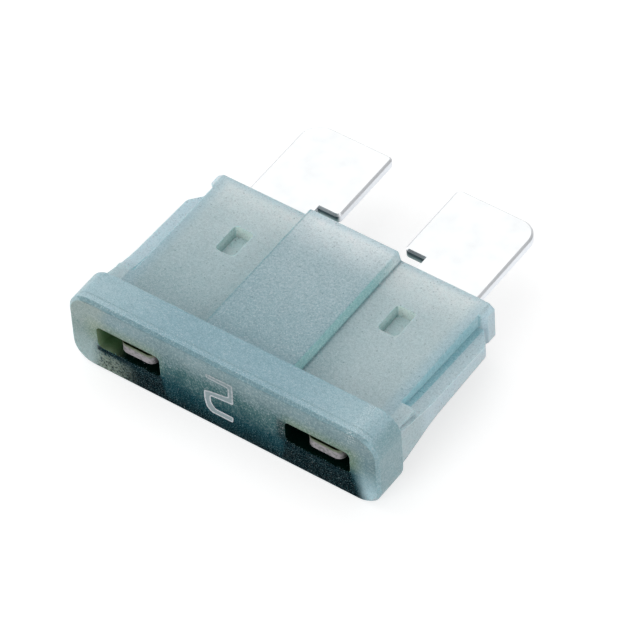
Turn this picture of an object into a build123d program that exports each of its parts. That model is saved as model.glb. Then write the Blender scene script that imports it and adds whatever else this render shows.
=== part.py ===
from build123d import *
import os

# A plug-in blade fuse of the regular size, in millimetres.
# It lies on its broad side: X runs across the two blades, Y runs from the
# head to the blade tips and Z is up, away from the surface it lies on.
# The origin is on that surface, under the middle of the bounding box.

os.makedirs("parts", exist_ok=True)

# Overall sizes
head_width = 19.3
head_thickness = 5.0
head_length = 2.2
body_length = 11.9
overall_length = 18.35

# Housing, outside
head_corner = 1.35
head_edge = 0.16
head_back_edge = 0.15
panel_width = 16.7
panel_thickness = 2.5
raised_width = 5.55
raised_thickness = 3.7
raised_draft = 0.17
pocket_depth = 0.36
pocket_setback = 1.05
bevel_drop = 0.28
shoulder_reach = 0.88
shoulder_length = 1.7
rib_reach = 1.07
rib_thickness = 0.74
rib_setback = 1.1
rib_slope = 0.85
rib_corner = 0.5
flank_thickness = 1.2
flank_length = 3.4
gusset_thickness = 2.4
gusset_reach = 1.15
soft_edge = 0.12

# Housing, inside
slot_clearance = 0.1
slot_roof = 2.7
chamber_width = 4.4
chamber_thickness = 2.1
chamber_roof = 3.5
window_width = 4.0
window_height = 1.5
window_offset = 5.9
window_corner = 0.3
stake_width = 1.22
stake_length = 1.92
stake_offset = 5.1
stake_from_head = 8.3
stake_corner = 0.25
stake_wall = 0.14

# Element, stamped from one strip
strip_thickness = 0.65
blade_width = 5.2
blade_span = 14.5
shank_width = 3.85
notch_height = 1.4
notch_corner = 0.3
tip_outer_corner = 1.1
tip_inner_corner = 0.3
tip_bevel = 0.12
seat_gap = 0.05
tab_width = 2.2
tab_offset = 5.85
tab_shift = 0.36
tab_recess = 0.15
tab_corner = 0.45
link_width = 0.8
link_thickness = 0.25
link_half_span = 1.2
link_rise = 1.8
link_bend = 0.5
link_from_head = 9.2
link_overlap = 0.3

# Places that follow from the sizes
head_face = -overall_length / 2
middle = head_thickness / 2
base_line = Plane(origin=(0, head_face, middle), x_dir=(1, 0, 0), z_dir=(0, 0, 1))
side_line = Plane(origin=(0, head_face, middle), x_dir=(0, 1, 0), z_dir=(1, 0, 0))
slot_thickness = strip_thickness + 2 * slot_clearance
slot_width = blade_span + 2 * slot_clearance
stake_depth = (panel_thickness - slot_thickness) / 2
pillar_width = stake_width + 2 * stake_wall
pillar_length = stake_length + 2 * stake_wall
block_width = panel_width + 2 * pocket_depth
raised_foot = raised_width + 2 * raised_draft
rib_width = panel_width + 2 * rib_reach
shoulder_end = head_length + shoulder_length
shank_end = slot_roof + seat_gap
shank_centre = (blade_span - shank_width) / 2
shank_inner = blade_span / 2 - shank_width
blade_centre = (blade_span - blade_width) / 2
blade_inner_reach = blade_span / 2 - blade_width + tip_inner_corner
notch_end = body_length + notch_height


def section(distance):
    """Plane across the fuse, this far behind the head's end face, facing the blades."""
    return Plane(origin=(0, head_face + distance, middle), x_dir=(-1, 0, 0), z_dir=(0, 1, 0))


with BuildPart() as flanks:
    # Side ribs, seen from the side: a thin drafted rib that swells into the head
    rib_end = body_length - rib_setback
    flank_end = head_length + flank_length
    with BuildSketch(side_line):
        with BuildLine():
            thin = Line((rib_end, rib_thickness / 2), (flank_end, flank_thickness / 2))
            cove = Spline(
                thin @ 1,
                (head_length, gusset_thickness / 2),
                tangents=[thin % 1, (-1, 0.12)],
            )
            Line(cove @ 1, (head_length / 2, gusset_thickness / 2))
            Line((head_length / 2, gusset_thickness / 2), (head_length / 2, 0))
            Line((rib_end, 0), (rib_end, rib_thickness / 2))
            mirror(about=Plane.XZ)
        make_face()
    extrude(amount=head_width / 2, both=True)
    # Their outline in plan, sloped and rounded off short of the blade end
    with BuildSketch(base_line) as rib_plan:
        with BuildLine():
            Polyline(
                (0, head_length / 2),
                (panel_width / 2 + gusset_reach, head_length / 2),
                (rib_width / 2, flank_end),
                (rib_width / 2, rib_end - rib_slope),
                (block_width / 2, rib_end),
                (0, rib_end),
            )
            mirror(about=Plane.YZ)
        make_face()
        tips = rib_plan.vertices().filter_by_position(Axis.Y, flank_end + 1, rib_end - rib_slope / 2)
        fillet(tips, rib_corner)
    extrude(amount=head_thickness, both=True, mode=Mode.INTERSECT)

with BuildPart() as head:
    # Head: a block with rounded ends, chamfered round its end face
    with BuildSketch(section(0)):
        RectangleRounded(head_width, head_thickness, head_corner)
    extrude(amount=head_length)
    chamfer(head.faces().sort_by(Axis.Y)[0].edges(), head_edge)
    fillet(head.faces().sort_by(Axis.Y)[-1].edges(), head_back_edge)

with BuildPart() as housing:
    # Body: flat panels with bevelled long edges
    with BuildSketch(section(head_length / 2)):
        with BuildLine():
            Polyline(
                (block_width / 2, 0),
                (block_width / 2, panel_thickness / 2 - bevel_drop),
                (panel_width / 2, panel_thickness / 2),
                (0, panel_thickness / 2),
            )
            mirror(about=Plane.YZ)
            mirror(about=Plane.XZ)
        make_face()
    extrude(amount=body_length - head_length / 2)

    # A shallow pocket in each long edge, which ends in a slope near the blade end
    with BuildSketch(base_line):
        with BuildLine():
            pocket_end = body_length - pocket_setback
            Polyline(
                (panel_width / 2, shoulder_end),
                (panel_width / 2, pocket_end),
                (panel_width / 2 + 2 * pocket_depth, pocket_end + 2 * pocket_depth),
                (panel_width / 2 + 2 * pocket_depth, shoulder_end),
                close=True,
            )
        make_face()
        mirror(about=Plane.YZ)
    extrude(amount=panel_thickness, both=True, mode=Mode.SUBTRACT)

    # Shoulders beside the head, and the ribs
    with BuildSketch(section(head_length / 2)):
        Rectangle(panel_width + 2 * shoulder_reach, panel_thickness)
    extrude(amount=shoulder_end - head_length / 2)
    add(flanks.part)

    # The raised middle over the link, with drafted sides
    with BuildSketch(section(head_length / 2)):
        with BuildLine():
            Polyline(
                (0, raised_thickness / 2),
                (raised_width / 2, raised_thickness / 2),
                (raised_foot / 2, panel_thickness / 2),
                (raised_foot / 2, 0),
            )
            mirror(about=Plane.YZ)
            mirror(about=Plane.XZ)
        make_face()
    extrude(amount=body_length - head_length / 2)

    # Soft edges round the blade end, along the raised middle and along the pockets
    lengthwise = housing.edges().filter_by(Axis.Y)
    raised_edges = lengthwise.filter_by_position(Axis.X, -raised_width / 2, raised_width / 2)
    blade_end = housing.faces().sort_by(Axis.Y)[-1]
    fillet(blade_end.edges() + raised_edges, soft_edge)
    lengthwise = housing.edges().filter_by(Axis.Y)
    panel_edges = lengthwise.filter_by_position(Axis.X, -panel_width / 2, panel_width / 2)
    pocket_edges = panel_edges.group_by(Axis.X)[0] + panel_edges.group_by(Axis.X)[-1]
    pocket_length = pocket_end - shoulder_end
    fillet(pocket_edges.filter_by(lambda edge: edge.length > pocket_length / 2), soft_edge)
    add(head.part)

    # Open inside for the strip, from the blade end up to the windows
    with BuildSketch(section(body_length)):
        Rectangle(slot_width, slot_thickness)
    extrude(amount=slot_roof - body_length, mode=Mode.SUBTRACT)
    with BuildSketch(section(body_length)):
        Rectangle(chamber_width, chamber_thickness)
    extrude(amount=chamber_roof - body_length, mode=Mode.SUBTRACT)
    with BuildSketch(section(0)):
        with Locations((window_offset, 0), (-window_offset, 0)):
            RectangleRounded(window_width, window_height, window_corner)
    extrude(amount=slot_roof, mode=Mode.SUBTRACT)

    # Staked places: a pillar through the strip, punched down from both panels
    stakes = [(stake_offset, stake_from_head), (-stake_offset, stake_from_head)]
    with BuildSketch(base_line):
        with Locations(stakes):
            Rectangle(pillar_width, pillar_length)
    extrude(amount=slot_thickness / 2, both=True)
    for side in (1, -1):
        with BuildSketch(base_line.offset(side * panel_thickness / 2)):
            with Locations(stakes):
                RectangleRounded(stake_width, stake_length, stake_corner)
        extrude(amount=-side * stake_depth, mode=Mode.SUBTRACT)

housing.part.label = "housing"
export_step(housing.part, "parts/housing.step")

with BuildPart() as fuse_element:
    # Two blades with their shanks and test tabs, stamped flat
    with BuildSketch(base_line) as stamping:
        for side in (1, -1):
            with Locations((side * shank_centre, shank_end)):
                Rectangle(shank_width, notch_end - shank_end, align=(Align.CENTER, Align.MIN))
            with Locations((side * blade_centre, notch_end)):
                Rectangle(blade_width, overall_length - notch_end, align=(Align.CENTER, Align.MIN))
            with Locations((side * tab_offset + tab_shift, tab_recess)):
                Rectangle(tab_width, shank_end - tab_recess, align=(Align.CENTER, Align.MIN))
        tips = stamping.vertices().group_by(Axis.Y)[-1].sort_by(Axis.X)
        fillet([tips[0], tips[-1]], tip_outer_corner)
        tips = stamping.vertices().filter_by_position(Axis.X, -blade_inner_reach, blade_inner_reach)
        fillet(tips.group_by(Axis.Y)[-1], tip_inner_corner)
        fillet(stamping.vertices().group_by(Axis.Y)[0], tab_corner)
        notch = stamping.vertices().filter_by_position(Axis.Y, notch_end - 0.01, notch_end + 0.01)
        fillet(notch.sort_by(Axis.X)[1:3], notch_corner)
        with Locations(stakes):
            Rectangle(
                pillar_width + 2 * slot_clearance,
                pillar_length + 2 * slot_clearance,
                mode=Mode.SUBTRACT,
            )
    extrude(amount=strip_thickness / 2, both=True)
    tip_edges = fuse_element.faces().group_by(Axis.Y)[-1].edges().filter_by(Axis.X)
    chamfer(tip_edges, tip_bevel)

    # The thin link, which loops towards the head between the shanks
    with BuildSketch(base_line):
        with BuildLine():
            FilletPolyline(
                (-shank_inner - link_overlap, link_from_head),
                (-link_half_span, link_from_head),
                (-link_half_span, link_from_head - link_rise),
                (link_half_span, link_from_head - link_rise),
                (link_half_span, link_from_head),
                (shank_inner + link_overlap, link_from_head),
                radius=link_bend,
            )
        trace(line_width=link_width)
    extrude(amount=link_thickness / 2, both=True)

fuse_element.part.label = "fuse_element"
export_step(fuse_element.part, "parts/fuse_element.step")
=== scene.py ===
import bmesh
import bpy
from bpy.props import FloatProperty, FloatVectorProperty, PointerProperty
from bpy.types import Operator, Panel, PropertyGroup
from mathutils import Matrix, Vector


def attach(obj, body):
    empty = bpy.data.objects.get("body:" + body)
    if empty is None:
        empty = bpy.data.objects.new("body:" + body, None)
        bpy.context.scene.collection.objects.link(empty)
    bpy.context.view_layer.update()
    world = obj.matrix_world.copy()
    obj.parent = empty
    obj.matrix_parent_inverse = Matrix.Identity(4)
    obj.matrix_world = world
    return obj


bl_info = {
    "name": "Blade fuse",
    "version": (1, 0, 0),
    "blender": (4, 5, 0),
    "location": "3D View > Sidebar > Blade fuse",
    "description": "Dresses a plug-in blade fuse with frosted plastic, tin plating and its number",
    "category": "Object",
}

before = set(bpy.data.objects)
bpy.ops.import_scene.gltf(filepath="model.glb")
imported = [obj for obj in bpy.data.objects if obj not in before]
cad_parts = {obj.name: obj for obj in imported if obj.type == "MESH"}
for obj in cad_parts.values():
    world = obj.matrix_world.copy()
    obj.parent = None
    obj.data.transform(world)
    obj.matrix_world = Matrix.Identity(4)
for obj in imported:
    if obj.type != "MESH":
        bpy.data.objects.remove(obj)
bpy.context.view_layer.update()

MM = 0.001

# Places on the fuse, in millimetres, with z from the middle of the strip
HALF_THICKNESS = 2.5
HEAD_FACE = -9.175
HEAD_BACK = -6.975
HEAD_SIDE = 9.65
BLADE_END = 2.725
PANEL_TOP = 1.25
PANEL_SIDE = 8.35
RAISED_TOP = 1.85
RAISED_EDGE = 2.775
RAISED_FOOT = 2.95
RIB_TOP = 0.37
POCKET_MIDDLE = -1.8
POCKET_HALF_LENGTH = 3.5
POCKET_HALF_DEPTH = 0.17
STAKE_OFFSET = 5.1
STAKE_MIDDLE = -0.875
STAKE_HALF_WIDTH = 0.66
STAKE_HALF_LENGTH = 1.01
WINDOW_OFFSET = 5.9
WINDOW_HALF_WIDTH = 2.0
WINDOW_HALF_HEIGHT = 0.75
WINDOW_END = -6.475
NOTCH_FACE = 4.125
BLADE_MIDDLE = 4.65
BLADE_HALF_WIDTH = 2.6
BLADE_TIP = 9.175
BLADE_BORDER = 0.12

# Where the painted glint streak runs along the head's right rounding, in millimetres
GLINT_STREAK_X = 8.05

# Half the width of a crisp border, in millimetres
CRISP = 0.02

# How closely the patterns in the plastic, tin and ink repeat, per millimetre
CLOUDS = 0.9
GRAIN = 7.0
FINE_GRAIN = 16.0
SPARKS = 22.0
SPECKS, SPECK_PATCHES = 3.6, 3.1
GLINTS, GLINT_PATCHES = 5.1, 2.3
RELIEF = 18.0
TIN_CLOUDS = 1.1
TAB_PITS = 6.0
INK_GRAIN = 9.0


def linear(*levels):
    """A colour from its three display levels of 0 to 255."""
    parts = [level / 255 for level in levels]
    return tuple(p / 12.92 if p <= 0.04045 else ((p + 0.055) / 1.055) ** 2.4 for p in parts)


def colour(name, description, *levels):
    return FloatVectorProperty(
        name=name, description=description, default=linear(*levels), subtype="COLOR", min=0, max=1
    )


def share(name, description, default):
    return FloatProperty(
        name=name, description=description, default=default, subtype="FACTOR", min=0, max=1
    )


def length(name, description, default_mm):
    return FloatProperty(
        name=name, description=description, default=default_mm * MM, subtype="DISTANCE",
        unit="LENGTH", min=0, precision=5,
    )


# ---- Shader maths ----

class Term:
    """An output socket that can stand in a Python expression."""

    def __init__(self, recipe, socket):
        self.recipe = recipe
        self.socket = socket

    def math(self, operation, *terms):
        return self.recipe.node("Math", {"operation": operation}, dict(enumerate(terms)))

    def __add__(self, other):
        return self.math("ADD", self, other)

    __radd__ = __add__

    def __sub__(self, other):
        return self.math("SUBTRACT", self, other)

    def __rsub__(self, other):
        return self.math("SUBTRACT", other, self)

    def __neg__(self):
        return 0 - self

    def __mul__(self, other):
        return self.math("MULTIPLY", self, other)

    __rmul__ = __mul__

    def __truediv__(self, other):
        return self.math("DIVIDE", self, other)

    def __abs__(self):
        return self.math("ABSOLUTE", self)

    def least(self, other):
        return self.math("MINIMUM", self, other)

    def most(self, other):
        return self.math("MAXIMUM", self, other)

    def rise(self, start, stop):
        """0 before start and 1 after stop, with a smooth step between them."""
        inputs = {"Value": self, "From Min": start, "From Max": stop}
        return self.recipe.node("MapRange", {"interpolation_type": "SMOOTHSTEP"}, inputs)

    def near(self, centre, reach, blur):
        """1 within reach of centre and 0 beyond it, over a soft edge."""
        return abs(self - centre).rise(reach + blur, reach)


class Recipe:
    """The nodes of one material."""

    def __init__(self, name):
        self.material = bpy.data.materials.new(name)
        self.material.use_nodes = True
        self.tree = self.material.node_tree
        self.tree.nodes.clear()

    def node(self, kind, settings=None, inputs=None, output=0):
        """Adds a node: its settings first, then its sockets' values or links."""
        made = self.tree.nodes.new("ShaderNode" + kind)
        for name, value in (settings or {}).items():
            if name == "stops":
                ramp = made.color_ramp.elements
                while len(ramp) < len(value):
                    ramp.new(0.5)
                for element, (place, shade) in zip(ramp, value):
                    element.position = place
                    element.color = (*shade, 1) if len(shade) == 3 else shade
            else:
                setattr(made, name, value)
        for name, value in (inputs or {}).items():
            if isinstance(value, Term):
                self.tree.links.new(value.socket, made.inputs[name])
            else:
                socket = made.inputs[name]
                if socket.type == "RGBA" and len(value) == 3:
                    value = (*value, 1)
                socket.default_value = value
        self.last = made
        return Term(self, made.outputs[output]) if made.outputs else None

    def mix(self, first, second, factor):
        """Colour first, going over to second as factor goes from 0 to 1."""
        return self.node(
            "Mix", {"data_type": "RGBA"}, {"Factor": factor, 6: first, 7: second}, output=2
        )

    def split(self, vector):
        self.node("SeparateXYZ", None, {0: vector})
        return [Term(self, socket) for socket in self.last.outputs]

    def place(self):
        """Object position in millimetres, with z from the middle of the strip."""
        here = self.node("TexCoord", output="Object")
        centred = self.node(
            "VectorMath", {"operation": "SUBTRACT"}, {0: here, 1: (0, 0, HALF_THICKNESS * MM)}
        )
        return self.node("VectorMath", {"operation": "SCALE"}, {0: centred, "Scale": 1 / MM})

    def facing(self):
        """The surface's own direction, as x, y and z."""
        return self.split(self.node("TexCoord", output="Normal"))

    def noise(self, place, scale, detail=2.0, roughness=0.5):
        inputs = {"Vector": place, "Scale": scale, "Detail": detail, "Roughness": roughness}
        return self.node("TexNoise", None, inputs)

    def bump(self, height, distance, strength):
        inputs = {"Height": height, "Distance": distance, "Strength": strength}
        return self.node("Bump", None, inputs)

    def principled(self, **inputs):
        """The surface shader; underscores in a name stand for spaces."""
        named = {key.replace("_", " "): value for key, value in inputs.items()}
        surface = self.node("BsdfPrincipled", None, named)
        self.node("OutputMaterial", None, {"Surface": surface})
        return self.material


# ---- Settings ----

class HousingLooks(PropertyGroup):
    panel: colour("Panels", "Broad faces beside the head", 146, 174, 180)
    # Painted light: the broad faces near the blades are a lit copy of the panels
    panel_lit_end: colour("Panels, blade end", "Broad faces near the blades", 224, 234, 235)
    raised: colour("Raised middle", "Raised middle beside the head", 133, 165, 174)
    # Painted light: the raised middle near the blades is a lit copy of it
    raised_lit_end: colour("Raised middle, blade end", "Raised middle near the blades", 236, 244, 246)
    rim: colour("Rims", "Edges of the broad faces", 150, 186, 200)
    head: colour("Head, middle", "Broad faces of the head over the number", 136, 172, 184)
    head_end: colour("Head, ends", "Broad faces of the head at its ends", 162, 192, 201)
    # Painted shade on the narrow sides of the head
    head_side_shade: colour("Head, sides", "Narrow sides of the head", 122, 158, 164)
    wall: colour("Step walls", "Walls beside the raised middle", 144, 188, 189)
    pocket: colour("Pocket walls", "Walls of the pockets along the panels", 156, 200, 210)
    pocket_foot: colour("Pocket foot", "Foot of the pocket walls", 146, 192, 202)
    # Painted shade in creases and along edges
    crease_shade: colour("Creases", "Lines at the foot of the walls", 82, 124, 132)
    rib: colour("Ribs", "Side ribs", 200, 224, 234)
    rib_top: colour("Ribs, broad faces", "Faces of the ribs beside the pockets", 180, 200, 206)
    shoulder: colour("Shoulders", "Ends of the ribs beside the head", 182, 206, 212)
    # Painted light: the punched places are painted paler than the plastic round them
    lit_stake_floor: colour("Staked floors", "Floors of the punched places", 226, 246, 250)
    lit_stake_wall: colour("Staked walls", "Walls of the punched places", 172, 198, 196)
    lit_stake_olive: colour("Staked walls, blade end", "Walls that face the head", 222, 234, 228)
    # End face: lit and shaded copies of the plastic, with painted shadow towards its foot and
    # painted light at its ends
    face_top: colour("End face, top", "End face near its upper edge", 130, 160, 167)
    face_middle: colour("End face, middle", "End face between the windows", 74, 112, 114)
    face_painted_shade: colour("End face, lower part", "End face under the windows", 16, 62, 72)
    face_painted_shadow: colour("End face, foot", "End face near the surface it lies on", 0, 18, 24)
    face_lit_left_foot: colour("End face, left foot", "End face under the left window", 142, 156, 144)
    face_lit_left_end: colour("End face, left end", "Rounded left end of the end face", 166, 182, 174)
    face_lit_ends: colour("End face, ends", "Rounded ends of the end face", 118, 148, 154)
    face_lit_corners: colour("End face, corners", "Lower corners of the end face", 184, 218, 228)
    spark: colour("Sparks", "Bright grains in the dark plastic", 150, 194, 200)
    window_rim: colour("Window rim", "Edge of the plastic in the windows", 130, 152, 122)
    window_green: colour("Window walls", "Walls of the windows behind the rim", 88, 126, 84)
    # Painted shade deep in the windows
    inside: colour("Inside", "Walls deep in the windows", 2, 20, 16)
    # Pale flecks in the plastic, and also the colour of painted glints and highlights
    pale_fleck_and_glint: colour("Pale flecks", "Pale cloudiness in the plastic", 225, 236, 238)
    dark_fleck: colour("Dark flecks", "Dark specks in the plastic", 60, 96, 106)
    roughness: share("Roughness", "How frosted the moulding is", 0.4)
    speck_share: share("Specks", "How dark the specks in the plastic are", 0.4)


class StripLooks(PropertyGroup):
    face: colour("Faces", "Tin plating on the broad faces", 219, 221, 222)
    edge: colour("Edges", "Stamped edges of the strip", 238, 241, 245)
    # Rolled-over borders, painted a little darker as their shade
    border: colour("Borders", "Rolled-over borders of the broad faces", 204, 206, 210)
    stain: colour("Dull patches", "Duller tin", 196, 199, 202)
    # Painted shade: the tin of the tabs, dimmer inside the windows
    shaded_tab: colour("Tabs", "Front of the test tabs in the windows", 156, 152, 156)
    # Painted reflection of the green window walls on the tabs
    tab_painted_reflection: colour("Tabs, broad faces", "Broad faces of the test tabs", 88, 104, 70)
    tab_pits: colour("Tabs, pits", "Pits in the cut front of the test tabs", 92, 98, 94)
    notch: colour("Notches", "Faces of the notches beside the housing", 84, 106, 112)
    notch_low: colour("Notches, lower half", "Lower half of those faces", 172, 194, 194)
    roughness: share("Roughness", "Roughness of the tin plating", 0.3)


class NumeralLooks(PropertyGroup):
    stroke: length("Stroke", "Width of the number's lower strokes", 0.43)
    top_stroke: length("Upper stroke", "Width of the number's top stroke", 0.29)
    rim: length("Rim", "Width of the bright edge along each stroke", 0.09)
    ink: colour("Ink", "Bright edge of the strokes", 214, 218, 224)
    core: colour("Ink, middle", "Worn middle of the strokes", 150, 166, 172)
    worn: colour("Worn ink", "Plastic that shows through the ink", 104, 130, 132)


class StageLooks(PropertyGroup):
    floor: colour("Floor", "Light that the floor returns to the fuse", 150, 152, 152)
    sky: share("Surroundings", "Level of the light from all round", 0.62)
    key_power: FloatProperty(
        name="Key", description="Power of the softbox behind the fuse", default=0.45,
        subtype="POWER", unit="POWER", min=0,
    )
    fill_power: FloatProperty(
        name="Fill", description="Power of the softboxes round the fuse", default=0.6,
        subtype="POWER", unit="POWER", min=0,
    )


# ---- Pieces ----

def dress(node, material):
    """Gives a CAD node one material."""
    node.data.materials.clear()
    node.data.materials.append(material)


class Moulding(Recipe):
    """The frosted plastic. Each method lays one group of places over the colour so far."""

    def __init__(self, looks):
        super().__init__("Frosted plastic")
        self.looks = looks
        self.here = self.place()
        self.x, self.y, self.z = self.split(self.here)
        self.side, self.up = abs(self.x), abs(self.z)
        nx, self.ny, self.nz = self.facing()
        self.sideways = abs(nx).rise(0.5, 0.85)
        self.on_body = self.y.rise(HEAD_BACK - CRISP, HEAD_BACK + CRISP)

        # Slow clouds in the moulding shift every border a little
        self.clouds = self.noise(self.here, CLOUDS, 3.0, 0.55) - 0.5
        self.grain = self.noise(self.here, GRAIN, 3.0, 0.65)
        self.fine = self.noise(self.here, FINE_GRAIN, 2.0, 0.7)

        # More light comes in at the left end
        self.to_left = (-self.x).rise(3, 7)
        self.far_left = (-self.x).rise(5.2, 7.5)

    def broad_faces(self):
        """Painted light: paler towards the blades, slowly at first and then fast, and paler at the
        right.
        """
        looks, x, y, side, up = self.looks, self.x, self.y, self.side, self.up
        raised = up.rise(PANEL_TOP + 0.2, RAISED_TOP - 0.1) * self.on_body
        slow = (y + 0.8 * self.clouds).rise(HEAD_BACK - 1.0, BLADE_END - 0.7)
        self.late = (y + 0.5 * self.clouds).rise(BLADE_END - 3.1, BLADE_END + 0.6)
        # Painted light grows towards the blades and towards the right
        painted_light = 0.36 * slow + 0.64 * self.late * (1 - 0.25 * (-x).rise(3, 5))
        painted_light = painted_light + 0.24 * x.rise(3, 6) * (1 - slow)
        panel = self.mix(looks.panel, looks.panel_lit_end, painted_light)
        painted_light = (0.22 * slow + 0.78 * self.late) * (1 - 0.2 * side.rise(1.6, 2.9))
        middle = self.mix(looks.raised, looks.raised_lit_end, painted_light)
        body = self.mix(panel, middle, raised)
        head = self.mix(looks.head, looks.head_end, side.rise(3.0, HEAD_SIDE - 1))
        # Painted shade on the head's sideways faces
        head = self.mix(head, looks.head_side_shade, self.sideways * 0.6)
        return self.mix(head, body, self.on_body)

    def rims(self, skin):
        """The edges of the broad faces are thicker to look through, and bluer."""
        rim = self.side.rise(PANEL_SIDE - 0.9, PANEL_SIDE - 0.1)
        rim = rim.most(self.y.rise(BLADE_END - 0.6, BLADE_END - 0.1))
        rim = rim.most(self.y.rise(HEAD_BACK + 0.7, HEAD_BACK) * 0.8)
        return self.mix(skin, self.looks.rim, rim * self.on_body * 0.5)

    def walls(self, skin):
        """The walls of the steps and pockets, painted shade in the creases along them, and the
        ribs.
        """
        looks, y, side, up = self.looks, self.y, self.side, self.up
        step = self.sideways * side.near(RAISED_FOOT - 0.1, 0.2, 0.05)
        step = step * up.rise(PANEL_TOP - CRISP, PANEL_TOP)
        skin = self.mix(skin, looks.wall, step * (1 - self.late))

        # Painted shade at the foot of the step walls, where the panels meet the head, and along the
        # left edge of the raised middle
        shade_line = side.near(RAISED_FOOT, 0.02, 0.16) * up.rise(PANEL_TOP + 0.14, PANEL_TOP)
        shade_line = (shade_line * self.on_body).most(self.on_body * y.near(HEAD_BACK + 0.02, 0.06, 0.2))
        on_top = self.on_body * up.rise(RAISED_TOP - 0.2, RAISED_TOP - 0.1)
        shade_line = shade_line.most(on_top * self.x.near(-RAISED_EDGE, 0.06, 0.1))
        skin = self.mix(skin, looks.crease_shade, shade_line * 0.55)

        beside = side.rise(PANEL_SIDE + 0.06, PANEL_SIDE + 0.2) * self.on_body
        rib = self.mix(looks.rib, looks.shoulder, y.rise(HEAD_BACK + 2.6, HEAD_BACK + 1.4))
        flat = abs(self.nz).rise(0.5, 0.9)
        flat = flat * (0.8 - 0.8 * self.late) * (1 - 0.7 * self.far_left)
        skin = self.mix(skin, self.mix(rib, looks.rib_top, flat), beside)

        depth = side.near(PANEL_SIDE + POCKET_HALF_DEPTH, POCKET_HALF_DEPTH, 0.03)
        pocket = depth * up.rise(PANEL_TOP, PANEL_TOP - 0.05)
        pocket = pocket * up.rise(RIB_TOP - CRISP, RIB_TOP + CRISP)
        pocket = pocket * y.near(POCKET_MIDDLE, POCKET_HALF_LENGTH, 0.1)
        wall = self.mix(looks.pocket, looks.pocket_foot, up.rise(PANEL_TOP - 0.1, RIB_TOP))
        return self.mix(skin, wall, pocket * (1 - 0.3 * self.late))

    def stakes(self, skin):
        """The punched places: grey and olive walls round a blue-grey floor, all painted pale as
        light against the shade in the pit.
        """
        looks = self.looks
        across = self.side.near(STAKE_OFFSET, STAKE_HALF_WIDTH, CRISP)
        sunk = across * self.y.near(STAKE_MIDDLE, STAKE_HALF_LENGTH, CRISP)
        sunk = sunk * self.up.rise(PANEL_TOP - 0.01, PANEL_TOP - 0.06)
        lit_pit = self.mix(looks.lit_stake_floor, looks.lit_stake_wall, self.sideways)
        lit_pit = self.mix(lit_pit, looks.lit_stake_olive, (-self.ny).rise(0.5, 0.85))
        return self.mix(skin, lit_pit, sunk)

    def head_face(self, skin):
        """Painted shade darkens the end face towards its foot and under the windows; painted light
        keeps it pale at its rounded ends.
        """
        looks, x, y, z, side = self.looks, self.x, self.y, self.z, self.side
        end_face = (-self.ny).rise(0.6, 0.9) * y.rise(HEAD_FACE + 0.2, HEAD_FACE + 0.1)
        opening = side.near(WINDOW_OFFSET, WINDOW_HALF_WIDTH + 0.12, 0.03)
        opening = opening * self.up.rise(WINDOW_HALF_HEIGHT + 0.15, WINDOW_HALF_HEIGHT + 0.12)
        opening = opening * y.rise(HEAD_FACE + 0.12, HEAD_FACE + 0.08)
        self.end_face = end_face.most(opening)

        # Painted shade under the windows and towards the foot of the end face, lighter at the upper
        # left
        under = side.near(WINDOW_OFFSET, WINDOW_HALF_WIDTH - 0.1, 0.5) * z.rise(-0.3, -1.0)
        level = z + 1.0 * self.clouds + 1.5 * (self.grain - 0.5)
        level = level - 1.1 * under * (1 - 0.6 * self.far_left)
        self.level = level + 0.7 * self.to_left * z.rise(0.2, 1.2)
        # Lit and shaded copies of the plastic, from painted shadow at the foot to the lit top
        face = self.node("ValToRGB", {"stops": [
            (0.02, looks.face_painted_shadow), (0.3, looks.face_painted_shade),
            (0.58, looks.face_middle), (0.97, looks.face_top),
        ]}, {0: 0.5 + self.level / (2 * HALF_THICKNESS)})
        # Painted light at the lower left of the end face
        low_left = self.far_left * z.rise(-0.8, -1.4) * self.grain.rise(0.3, 0.6)
        face = self.mix(face, looks.face_lit_left_foot, low_left)

        # Painted light at the rounded ends of the end face
        self.glow = (side - 0.035 * x + 0.5 * self.clouds + 0.2 * z).rise(7.5, 8.5)
        ends = self.mix(looks.face_lit_ends, looks.face_lit_corners, z.rise(0.6, -2.0))
        ends = self.mix(ends, looks.face_lit_left_end, 0.6 * self.far_left)
        return self.mix(skin, self.mix(face, ends, self.glow), self.end_face)

    def windows(self, skin):
        """A green glow and painted shade round the windows, green rims, and walls inside painted
        dark as shade.
        """
        looks, y, z, side = self.looks, self.y, self.z, self.side
        around = side.near(WINDOW_OFFSET + 0.3, WINDOW_HALF_WIDTH - 0.3, 1.1)
        around = around * z.rise(-WINDOW_HALF_HEIGHT, 0.2)
        around = around * z.rise(WINDOW_HALF_HEIGHT + 0.9, WINDOW_HALF_HEIGHT)
        # Painted light: a green glow round the windows
        skin = self.mix(skin, looks.window_rim, self.end_face * around * 0.6)
        # Painted shade beside and under the windows
        beside = self.x.near(WINDOW_OFFSET - WINDOW_HALF_WIDTH - 0.15, 0.1, 0.45)
        beside = beside * self.up.rise(1.0, 0.5)
        below = side.near(WINDOW_OFFSET, WINDOW_HALF_WIDTH, 0.1)
        below = below * z.near(-WINDOW_HALF_HEIGHT - 0.1, 0.1, 0.15)
        shade = (0.7 * beside).most(0.85 * below)
        skin = self.mix(skin, looks.face_painted_shadow, self.end_face * shade)

        self.in_window = side.near(WINDOW_OFFSET, WINDOW_HALF_WIDTH + 0.01, 0.01) * self.up.rise(
            WINDOW_HALF_HEIGHT + 0.02, WINDOW_HALF_HEIGHT + 0.01
        )
        depth = y + 0.4 * (self.grain - 0.5)
        past_rim = depth.rise(HEAD_FACE - 0.05, HEAD_FACE + 0.6)
        green = self.mix(looks.window_rim, looks.window_green, past_rim)
        outer_wall = self.sideways * side.rise(WINDOW_OFFSET, WINDOW_OFFSET + 0.1)
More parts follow.
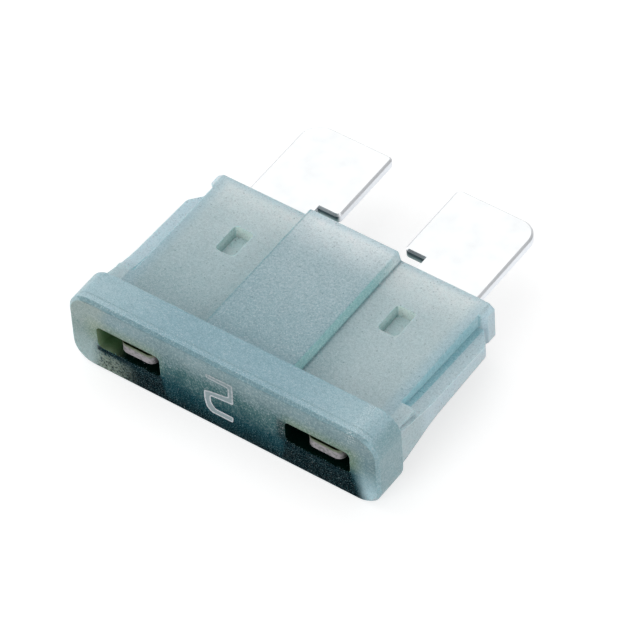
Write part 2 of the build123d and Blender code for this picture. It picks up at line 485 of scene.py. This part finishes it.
        # Walls inside the windows that light doesn't reach are painted dark as shade
        unlit_walls = (1 - outer_wall) * (1 - self.nz.rise(-0.2, -0.8))
        lit = (self.to_left * z.rise(-0.5, 0.1)).most((-self.x).rise(6.2, 7.4) * 0.9)
        dark = depth.rise(HEAD_FACE + 0.3, HEAD_FACE + 2.6).most(unlit_walls) * (1 - 0.8 * lit)
        self.is_wall = self.in_window * y.rise(HEAD_FACE + 0.01, HEAD_FACE + 0.02) * y.rise(
            WINDOW_END + 0.01, WINDOW_END
        )
        return self.mix(skin, self.mix(green, looks.inside, dark), self.is_wall)

    def front_edge(self, skin):
        """Painted highlights in flecks between two thin lines of painted shade, and a painted glint
        streak at the right.
        """
        y, z = self.y, self.z
        in_front = y.rise(HEAD_FACE + 0.7, HEAD_FACE + 0.6) * z.rise(2.2, 2.3)
        # Painted shade in two thin lines along the front edge of the head
        shade_lines = y.rise(HEAD_FACE + 0.2, HEAD_FACE + 0.14) * 0.55
        shade_lines = shade_lines.most(y.near(HEAD_FACE + 0.5, 0.02, 0.07) * self.grain.rise(0.4, 0.6) * 0.5)
        skin = self.mix(skin, self.looks.crease_shade, in_front * shade_lines)
        # Painted highlights: flecks on the front edge and a glint streak along the head's right
        # rounding
        flecks = in_front * y.near(HEAD_FACE + 0.3, 0.12, 0.12) * 0.4
        glint_streak = self.x.near(GLINT_STREAK_X, 0.1, 0.35) * z.rise(1.5, 1.9) * (1 - self.on_body)
        bright = flecks.most(glint_streak) * self.fine.rise(0.5, 0.64) * 0.55
        return self.mix(skin, self.looks.pale_fleck_and_glint, bright)

    def specks(self, skin):
        """Mottling and dark specks, with bright grains in the dark end face and painted glints all
        over.
        """
        looks = self.looks
        gloom = self.end_face * self.level.rise(0.8, -1.2) * (1 - self.glow)
        mottle = 0.15 * self.clouds + 0.8 * (self.grain - 0.5) + 1.3 * (self.fine - 0.5)
        mottle = mottle * (1 - self.is_wall)
        skin = self.mix(skin, looks.pale_fleck_and_glint, (mottle * (1 - 0.85 * gloom)).most(0))
        skin = self.mix(skin, looks.dark_fleck, (-mottle).most(0) * (1 - 0.7 * gloom))
        sparks = self.noise(self.here, SPARKS, 1.0).rise(0.6, 0.72)
        skin = self.mix(skin, looks.spark, sparks * gloom * 0.45)
        spots = self.node("TexVoronoi", None, {"Vector": self.here, "Scale": SPECKS})
        spots = spots.rise(0.2, 0.1) * self.noise(self.here, SPECK_PATCHES).rise(0.46, 0.56)
        skin = self.mix(skin, looks.dark_fleck, spots * looks.speck_share * self.on_body)
        # Painted glints: small bright highlights scattered over the plastic
        glints = self.node("TexVoronoi", None, {"Vector": self.here, "Scale": GLINTS})
        glints = glints.rise(0.16, 0.06) * self.noise(self.here, GLINT_PATCHES).rise(0.5, 0.6)
        return self.mix(skin, looks.pale_fleck_and_glint, glints * 0.35)

    def finish(self, skin):
        """The material: frosted, with its gloss off in the windows and the dark end face."""
        relief = self.grain + 0.5 * self.noise(self.here, RELIEF)
        matt = (self.end_face * self.level.rise(1.6, 0.2)).most(self.in_window)
        return self.principled(
            Base_Color=skin,
            Roughness=0.15 * self.grain + (self.looks.roughness - 0.07),
            IOR=1.5,
            Subsurface_Weight=0.65,
            Subsurface_Radius=(0.6, 1.0, 1.0),
            Subsurface_Scale=0.3 * MM,
            Specular_IOR_Level=0.0,
            Coat_Weight=0.75 * (1 - matt),
            Coat_Roughness=0.32,
            Normal=self.bump(relief, 0.03 * MM, 0.7),
        )


class FUSE_OT_housing(Operator):
    """Dress the housing in frosted plastic"""

    bl_idname = "fuse.housing"
    bl_label = "Frosted housing"

    def execute(self, context):
        moulding = Moulding(context.scene.fuse_housing)
        skin = moulding.broad_faces()
        for layer in (
            moulding.rims, moulding.walls, moulding.stakes, moulding.head_face,
            moulding.windows, moulding.front_edge, moulding.specks,
        ):
            skin = layer(skin)
        dress(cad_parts["housing"], moulding.finish(skin))
        return {"FINISHED"}


class FUSE_OT_strip(Operator):
    """Dress the stamped strip in bright tin"""

    bl_idname = "fuse.strip"
    bl_label = "Tinned strip"

    def execute(self, context):
        looks = context.scene.fuse_strip
        recipe = Recipe("Tin plating")
        place = recipe.place()
        x, y, z = recipe.split(place)
        side = abs(x)
        _, ny, nz = recipe.facing()

        # Blades: bright broad faces with rolled-over borders, painted a little darker as their
        # shade
        broad = abs(nz).rise(0.5, 0.9)
        metal = recipe.mix(looks.edge, looks.face, broad)
        border = abs(side - BLADE_MIDDLE).rise(
            BLADE_HALF_WIDTH - BLADE_BORDER, BLADE_HALF_WIDTH - BLADE_BORDER / 3
        )
        tip = y.rise(BLADE_TIP - BLADE_BORDER, BLADE_TIP - BLADE_BORDER / 3)
        metal = recipe.mix(metal, looks.border, border.most(tip) * broad)
        clouds = recipe.noise(place, TIN_CLOUDS, 3.0)
        metal = recipe.mix(metal, looks.stain, (clouds - 0.5).most(0) * 0.25)

        # Scratches run along the strip
        drawn = recipe.node("VectorMath", {"operation": "MULTIPLY"}, {0: place, 1: (9.0, 0.5, 9.0)})
        scratches = recipe.noise(drawn, 1.0, 3.0)

        # Test tabs painted dimmer as shade inside the windows, with pits in their cut fronts and a
        # painted reflection of the green window on their broad faces, and the notches beside the
        # housing
        in_head = y.rise(WINDOW_END, HEAD_BACK)
        pits = recipe.noise(place, TAB_PITS, 3.0, 0.65).rise(0.46, 0.6)
        shaded_tab = recipe.mix(looks.shaded_tab, looks.tab_pits, pits * 0.6)
        shaded_tab = recipe.mix(shaded_tab, looks.tab_painted_reflection, broad.most(0.8 * z.rise(0.05, 0.28)))
        metal = recipe.mix(metal, shaded_tab, in_head)
        notch = (-ny).rise(0.5, 0.9) * y.near(NOTCH_FACE, 0.2, 0.2)
        notched = recipe.mix(looks.notch, looks.notch_low, z.rise(0.08, -0.12))
        metal = recipe.mix(metal, notched, notch)
        dress(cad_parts["fuse_element"], recipe.principled(
            Base_Color=metal,
            Metallic=1.0,
            Roughness=0.2 * clouds + 0.3 * (1 - broad) + (looks.roughness - 0.1),
            Normal=recipe.bump(scratches, 0.004 * MM, 0.5),
        ))
        return {"FINISHED"}


# The inked number, in millimetres: its place on the end face, its corners and its film
NUMBER_LEFT, NUMBER_RIGHT = -1.15, 0.75
NUMBER_TOP, NUMBER_FOOT = 1.44, -1.43
NUMBER_CORNER = 0.1
INK_SUNK = 0.02
INK_FILM = 0.022
INK_STEP = 0.001


def number_outline(stroke, thin):
    """A squared 2 seen from the head end, with its lower left corner cut off."""
    left, right, top, foot = NUMBER_LEFT, NUMBER_RIGHT, NUMBER_TOP, NUMBER_FOOT
    inner, upper = left + stroke, foot + stroke
    return [
        (left + 0.22, top), (right, top + 0.03), (right - 0.04, 0.0), (inner, -0.16),
        (inner, upper + 0.35), (inner + 0.25, upper), (right - 0.1, upper),
        (right - 0.15, foot), (left + 0.4, foot), (left + 0.1, foot + 0.3),
        (left, -0.5), (left + 0.03, 0.08), (left + 0.42, 0.2), (right - thin - 0.06, 0.42),
        (right - thin - 0.03, top - thin - 0.03), (left + 0.22, top - thin),
    ]


def ink(name, shade, worn_through):
    """Ink that wears off in grains, more towards the top of the number."""
    recipe = Recipe(name)
    place = recipe.place()
    grains = recipe.noise(place, INK_GRAIN, 3.0, 0.65)
    height = recipe.split(place)[2]
    wear = (grains - 0.45).most(0) * 2.0 + 0.35 * height.rise(-0.6, 1.4)
    skin = recipe.mix(shade, worn_through, wear.least(1))
    relief = recipe.bump(grains, 0.01 * MM, 0.5)
    return recipe.principled(Base_Color=skin, Roughness=0.5, Normal=relief)


class FUSE_OT_numeral(Operator):
    """Print the number on the end of the head"""

    bl_idname = "fuse.numeral"
    bl_label = "Inked number"

    def execute(self, context):
        looks = context.scene.fuse_numeral
        bm = bmesh.new()
        ground = (HEAD_FACE + INK_SUNK) * MM
        verts = [
            bm.verts.new((px * MM, ground, (HALF_THICKNESS + pz) * MM))
            for px, pz in number_outline(looks.stroke / MM, looks.top_stroke / MM)
        ]
        bm.faces.new(verts)
        bmesh.ops.bevel(
            bm, geom=verts, affect="VERTICES", offset=NUMBER_CORNER * MM, segments=4,
            profile=0.5, material=-1,
        )
        bmesh.ops.recalc_face_normals(bm, faces=bm.faces)
        face = bm.faces[:][0]
        if face.normal.y > 0:
            bmesh.ops.reverse_faces(bm, faces=[face])
        raised = bmesh.ops.extrude_face_region(bm, geom=[face])
        front = [g for g in raised["geom"] if isinstance(g, bmesh.types.BMFace)][0]
        bmesh.ops.translate(bm, verts=front.verts[:], vec=(0, -INK_FILM * MM, 0))
        bmesh.ops.inset_region(
            bm, faces=[front], thickness=looks.rim, depth=-INK_STEP * MM, use_even_offset=True
        )
        front.material_index = 1
        bmesh.ops.recalc_face_normals(bm, faces=bm.faces)

        # The operators leave the faces in an order of their own, so they are put in place order
        for index, each in enumerate(sorted(bm.faces, key=lambda f: f.calc_center_median()[:])):
            each.index = index
        bm.faces.sort()
        mesh = bpy.data.meshes.new("numeral")
        bm.to_mesh(mesh)
        bm.free()
        mesh.materials.append(ink("Ink edge", looks.ink, looks.worn))
        mesh.materials.append(ink("Ink middle", looks.core, looks.worn))
        numeral = bpy.data.objects.new("numeral", mesh)
        context.scene.collection.objects.link(numeral)
        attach(numeral, "root")
        return {"FINISHED"}


# ---- Stage ----

# In metres, but for the lens and its sensor: the floor, the softboxes with their places, sizes
# and powers, and the camera. Under these lamps the floor's shade and glow make white.
FLOOR_GAP = 0.00002
FLOOR_HALF_WIDTH = 1.5
FLOOR_SHADE = (0.52, 0.52, 0.52)
FLOOR_GLOW = 0.64
SOFTBOXES = (
    ("Key", (-0.20, 0.26, 0.37), 0.42, "key_power"),
    ("Fill", (-0.05, -0.40, 0.16), 0.30, "fill_power"),
    ("Side", (0.42, -0.04, 0.14), 0.30, "fill_power"),
    ("Far side", (-0.42, -0.04, 0.14), 0.30, "fill_power"),
)
CAMERA_PLACE = (0.110726, -0.141595, 0.200597)
CAMERA_RIGHT = (0.81700414, 0.57467474, -0.04746769)
CAMERA_DOWN = (0.40314385, -0.6281152, -0.66554213)
CAMERA_AHEAD = (-0.41228543, 0.52461437, -0.74484931)
CAMERA_LENS = 292.08
CAMERA_SENSOR = 36


class FUSE_OT_stage(Operator):
    """Set out the floor, the lamps and the camera"""

    bl_idname = "fuse.stage"
    bl_label = "Stage"

    def execute(self, context):
        scene = context.scene
        looks = scene.fuse_stage
        scene.view_settings.view_transform = "Standard"

        # Floor, just clear of the fuse: white to the camera and in reflections, and a plain
        # grey for the light that it returns
        bm = bmesh.new()
        lowered = Matrix.Translation((0, 0, -FLOOR_GAP))
        bmesh.ops.create_grid(
            bm, x_segments=1, y_segments=1, size=FLOOR_HALF_WIDTH, matrix=lowered
        )
        mesh = bpy.data.meshes.new("floor")
        bm.to_mesh(mesh)
        bm.free()
        floor = bpy.data.objects.new("floor", mesh)
        scene.collection.objects.link(floor)
        recipe = Recipe("Floor")
        recipe.node("LightPath")
        rays = [Term(recipe, recipe.last.outputs[name]) for name in
                ("Is Camera Ray", "Is Glossy Ray", "Is Transmission Ray")]
        seen = (rays[0] + rays[1] + rays[2]).least(1)
        plain = recipe.node("BsdfDiffuse", None, {"Color": looks.floor})
        lit = recipe.node("BsdfDiffuse", None, {"Color": FLOOR_SHADE})
        glow = recipe.node("Emission", None, {"Color": (1, 1, 1), "Strength": FLOOR_GLOW})
        pale = recipe.node("AddShader", None, {0: lit, 1: glow})
        surface = recipe.node("MixShader", None, {"Fac": seen, 1: plain, 2: pale})
        recipe.node("OutputMaterial", None, {"Surface": surface})
        mesh.materials.append(recipe.material)

        # Surroundings: white to the camera
        world = bpy.data.worlds.new("Surroundings")
        scene.world = world
        world.use_nodes = True
        tree = world.node_tree
        tree.nodes.clear()
        paths = tree.nodes.new("ShaderNodeLightPath")
        seen = tree.nodes.new("ShaderNodeMath")
        tree.links.new(paths.outputs["Is Camera Ray"], seen.inputs[0])
        tree.links.new(paths.outputs["Is Transmission Ray"], seen.inputs[1])
        strength = tree.nodes.new("ShaderNodeMix")
        tree.links.new(seen.outputs[0], strength.inputs[0])
        strength.inputs[2].default_value = looks.sky
        strength.inputs[3].default_value = 1.0
        background = tree.nodes.new("ShaderNodeBackground")
        tree.links.new(strength.outputs[0], background.inputs["Strength"])
        output = tree.nodes.new("ShaderNodeOutputWorld")
        tree.links.new(background.outputs[0], output.inputs["Surface"])

        # Softboxes, aimed at the fuse
        for name, place, size, power in SOFTBOXES:
            lamp = bpy.data.lights.new(name, "AREA")
            lamp.shape = "DISK"
            lamp.size = size
            lamp.energy = getattr(looks, power)
            box = bpy.data.objects.new(name, lamp)
            box.location = place
            box.rotation_euler = (-Vector(place)).to_track_quat("-Z", "Y").to_euler()
            scene.collection.objects.link(box)

        # Camera
        data = bpy.data.cameras.new("Camera")
        data.lens = CAMERA_LENS
        data.sensor_width = CAMERA_SENSOR
        data.clip_start = 0.01
        camera = bpy.data.objects.new("Camera", data)
        turn = Matrix((CAMERA_RIGHT, -Vector(CAMERA_DOWN), -Vector(CAMERA_AHEAD))).transposed()
        camera.matrix_world = Matrix.Translation(CAMERA_PLACE) @ turn.to_4x4()
        scene.collection.objects.link(camera)
        scene.camera = camera
        return {"FINISHED"}


class FUSE_PT_panel(Panel):
    """Lists the pieces of the fuse and their settings"""

    bl_label = "Blade fuse"
    bl_idname = "FUSE_PT_panel"
    bl_space_type = "VIEW_3D"
    bl_region_type = "UI"
    bl_category = "Blade fuse"

    def draw(self, context):
        for operator, group, _ in PIECES:
            self.layout.operator(operator.bl_idname)
            settings = getattr(context.scene, group)
            for name in settings.__annotations__:
                self.layout.prop(settings, name)


PIECES = (
    (FUSE_OT_housing, "fuse_housing", HousingLooks),
    (FUSE_OT_strip, "fuse_strip", StripLooks),
    (FUSE_OT_numeral, "fuse_numeral", NumeralLooks),
    (FUSE_OT_stage, "fuse_stage", StageLooks),
)
OPERATORS, GROUPS, LOOKS = zip(*PIECES)
CLASSES = (*LOOKS, *OPERATORS, FUSE_PT_panel)


def register():
    for each in CLASSES:
        bpy.utils.register_class(each)
    for name, looks in zip(GROUPS, LOOKS):
        setattr(bpy.types.Scene, name, PointerProperty(type=looks))


def unregister():
    for name in GROUPS:
        delattr(bpy.types.Scene, name)
    for each in reversed(CLASSES):
        bpy.utils.unregister_class(each)


def main():
    register()
    bpy.ops.fuse.housing()
    bpy.ops.fuse.strip()
    bpy.ops.fuse.numeral()
    bpy.ops.fuse.stage()


if __name__ == "__main__":
    main()
